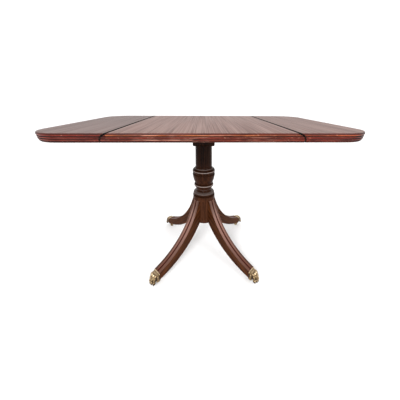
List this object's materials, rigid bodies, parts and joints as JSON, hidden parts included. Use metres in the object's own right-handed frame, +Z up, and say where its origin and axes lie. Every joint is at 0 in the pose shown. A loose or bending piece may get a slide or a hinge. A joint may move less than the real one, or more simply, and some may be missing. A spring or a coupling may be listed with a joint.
{
  "type": "drop-leaf pedestal table",
  "caption": "Drop-leaf table: reeded top with rounded hinged leaves on rule joints, turned column, reeded sabre legs and brass paw feet on swivel castors.",
  "frame": {"origin": "on the floor under the middle of the column", "axes": "+X across the leaves to the viewer's right, +Y from front to back, +Z up"},
  "size_m": [1.1016, 0.6596, 0.737],
  "materials": {
    "top_mahogany": "worn French polish",
    "base_mahogany": "dark French polish",
    "under_frame_wood": "bare, planed",
    "brass": "worn and darkened",
    "iron": "blackened",
    "steel": "dull, oiled"
  },
  "bodies": {
    "base": {"centre_top": "top_mahogany", "hinge_pins": "steel", "centre_hinge_screws": "steel", "front_bearer": "under_frame_wood", "rear_bearer": "under_frame_wood", "left_keeper": "under_frame_wood", "right_keeper": "under_frame_wood", "cap_block": "base_mahogany", "frame_screws": "steel", "column": "base_mahogany", "tenon_wedge": "under_frame_wood", "hub_plate": "iron", "hub_plate_screws": "steel", "paw_pins": "brass", "left_front_fixed_flap": "steel", "left_middle_fixed_flap": "steel", "left_rear_fixed_flap": "steel", "right_front_fixed_flap": "steel", "right_middle_fixed_flap": "steel", "right_rear_fixed_flap": "steel", "rear_right_leg": "base_mahogany", "rear_right_paw": "brass", "rear_left_leg": "base_mahogany", "rear_left_paw": "brass", "front_left_leg": "base_mahogany", "front_left_paw": "brass", "front_right_leg": "base_mahogany", "front_right_paw": "brass"},
    "left_leaf": {"left_leaf": "top_mahogany", "left_leaf_hinge_screws": "steel", "left_front_leaf_flap": "steel", "left_middle_leaf_flap": "steel", "left_rear_leaf_flap": "steel"},
    "right_leaf": {"right_leaf": "top_mahogany", "right_leaf_hinge_screws": "steel", "right_front_leaf_flap": "steel", "right_middle_leaf_flap": "steel", "right_rear_leaf_flap": "steel"},
    "left_slide": {"left_slide": "under_frame_wood", "left_slide_peg": "under_frame_wood"},
    "right_slide": {"right_slide": "under_frame_wood", "right_slide_peg": "under_frame_wood"},
    "rear_right_castor": {"rear_right_castor_fork": "brass", "rear_right_castor_axle": "brass"},
    "rear_right_wheel": {"rear_right_castor_wheel": "brass"},
    "rear_left_castor": {"rear_left_castor_fork": "brass", "rear_left_castor_axle": "brass"},
    "rear_left_wheel": {"rear_left_castor_wheel": "brass"},
    "front_left_castor": {"front_left_castor_fork": "brass", "front_left_castor_axle": "brass"},
    "front_left_wheel": {"front_left_castor_wheel": "brass"},
    "front_right_castor": {"front_right_castor_fork": "brass", "front_right_castor_axle": "brass"},
    "front_right_wheel": {"front_right_castor_wheel": "brass"}
  },
  "joints": [
    {"name": "left_leaf_hinge", "type": "hinge", "parent": "base", "child": "left_leaf", "pos_m": [-0.294, 0, 0.713], "axis": [0, 1, 0], "range_deg": [-90, 0]},
    {"name": "right_leaf_hinge", "type": "hinge", "parent": "base", "child": "right_leaf", "pos_m": [0.294, 0, 0.713], "axis": [0, -1, 0], "range_deg": [-90, 0]},
    {"name": "left_slide_pull", "type": "slide", "parent": "base", "child": "left_slide", "axis": [-1, 0, 0], "range_m": [0, 0.17]},
    {"name": "right_slide_pull", "type": "slide", "parent": "base", "child": "right_slide", "axis": [1, 0, 0], "range_m": [0, 0.17]},
    {"name": "rear_right_castor_swivel", "type": "hinge", "parent": "base", "child": "rear_right_castor", "pos_m": [0.23405, 0.23405, 0.0287], "axis": [0, 0, 1], "continuous": true},
    {"name": "rear_right_wheel_roll", "type": "hinge", "parent": "rear_right_castor", "child": "rear_right_wheel", "pos_m": [0.22839, 0.22839, 0.012], "axis": [-0.7071, 0.7071, 0], "continuous": true},
    {"name": "rear_left_castor_swivel", "type": "hinge", "parent": "base", "child": "rear_left_castor", "pos_m": [-0.23405, 0.23405, 0.0287], "axis": [0, 0, 1], "continuous": true},
    {"name": "rear_left_wheel_roll", "type": "hinge", "parent": "rear_left_castor", "child": "rear_left_wheel", "pos_m": [-0.22839, 0.22839, 0.012], "axis": [-0.7071, -0.7071, 0], "continuous": true},
    {"name": "front_left_castor_swivel", "type": "hinge", "parent": "base", "child": "front_left_castor", "pos_m": [-0.23405, -0.23405, 0.0287], "axis": [0, 0, 1], "continuous": true},
    {"name": "front_left_wheel_roll", "type": "hinge", "parent": "front_left_castor", "child": "front_left_wheel", "pos_m": [-0.22839, -0.22839, 0.012], "axis": [0.7071, -0.7071, 0], "continuous": true},
    {"name": "front_right_castor_swivel", "type": "hinge", "parent": "base", "child": "front_right_castor", "pos_m": [0.23405, -0.23405, 0.0287], "axis": [0, 0, 1], "continuous": true},
    {"name": "front_right_wheel_roll", "type": "hinge", "parent": "front_right_castor", "child": "front_right_wheel", "pos_m": [0.22839, -0.22839, 0.012], "axis": [0.7071, 0.7071, 0], "continuous": true}
  ]
}
